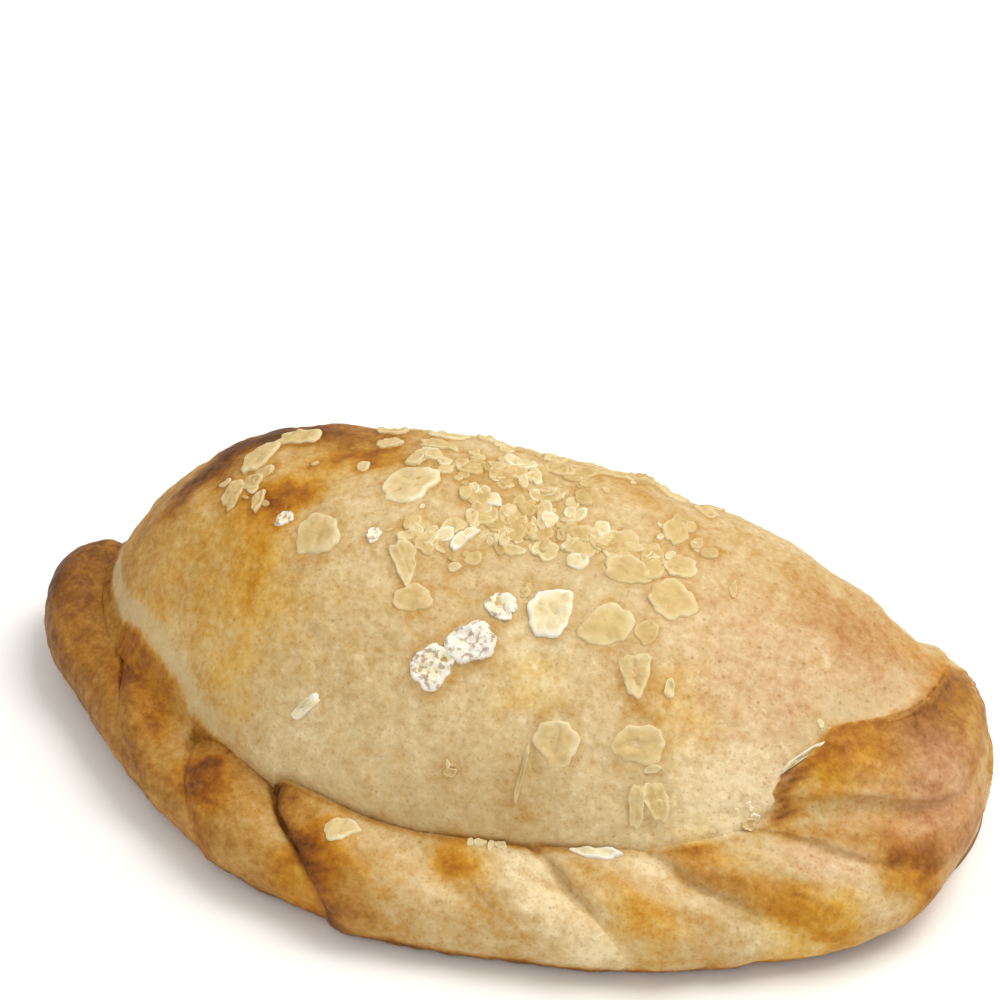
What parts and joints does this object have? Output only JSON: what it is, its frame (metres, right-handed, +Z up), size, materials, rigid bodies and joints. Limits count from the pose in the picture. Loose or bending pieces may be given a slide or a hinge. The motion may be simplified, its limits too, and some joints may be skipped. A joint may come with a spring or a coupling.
{
  "type": "ham and cheese empanada",
  "caption": "Baked half-moon empanada: domed pocket of wholemeal dough, front edge rolled into a twisted rope that ends in a wide flap, with rolled oat flakes baked on top.",
  "frame": {"origin": "centre of the flat underside, in the plane that the pasty rests on", "axes": "+X along the folded back, towards the wide end flap; -Y towards the crimped front edge; +Z up"},
  "size_m": [0.142, 0.0736, 0.0436],
  "materials": {
    "baked_dough": "matte baked wholemeal crust, browner on the rope and the top edge"
  },
  "bodies": {
    "root": {"empanada": "baked_dough"}
  },
  "joints": []
}
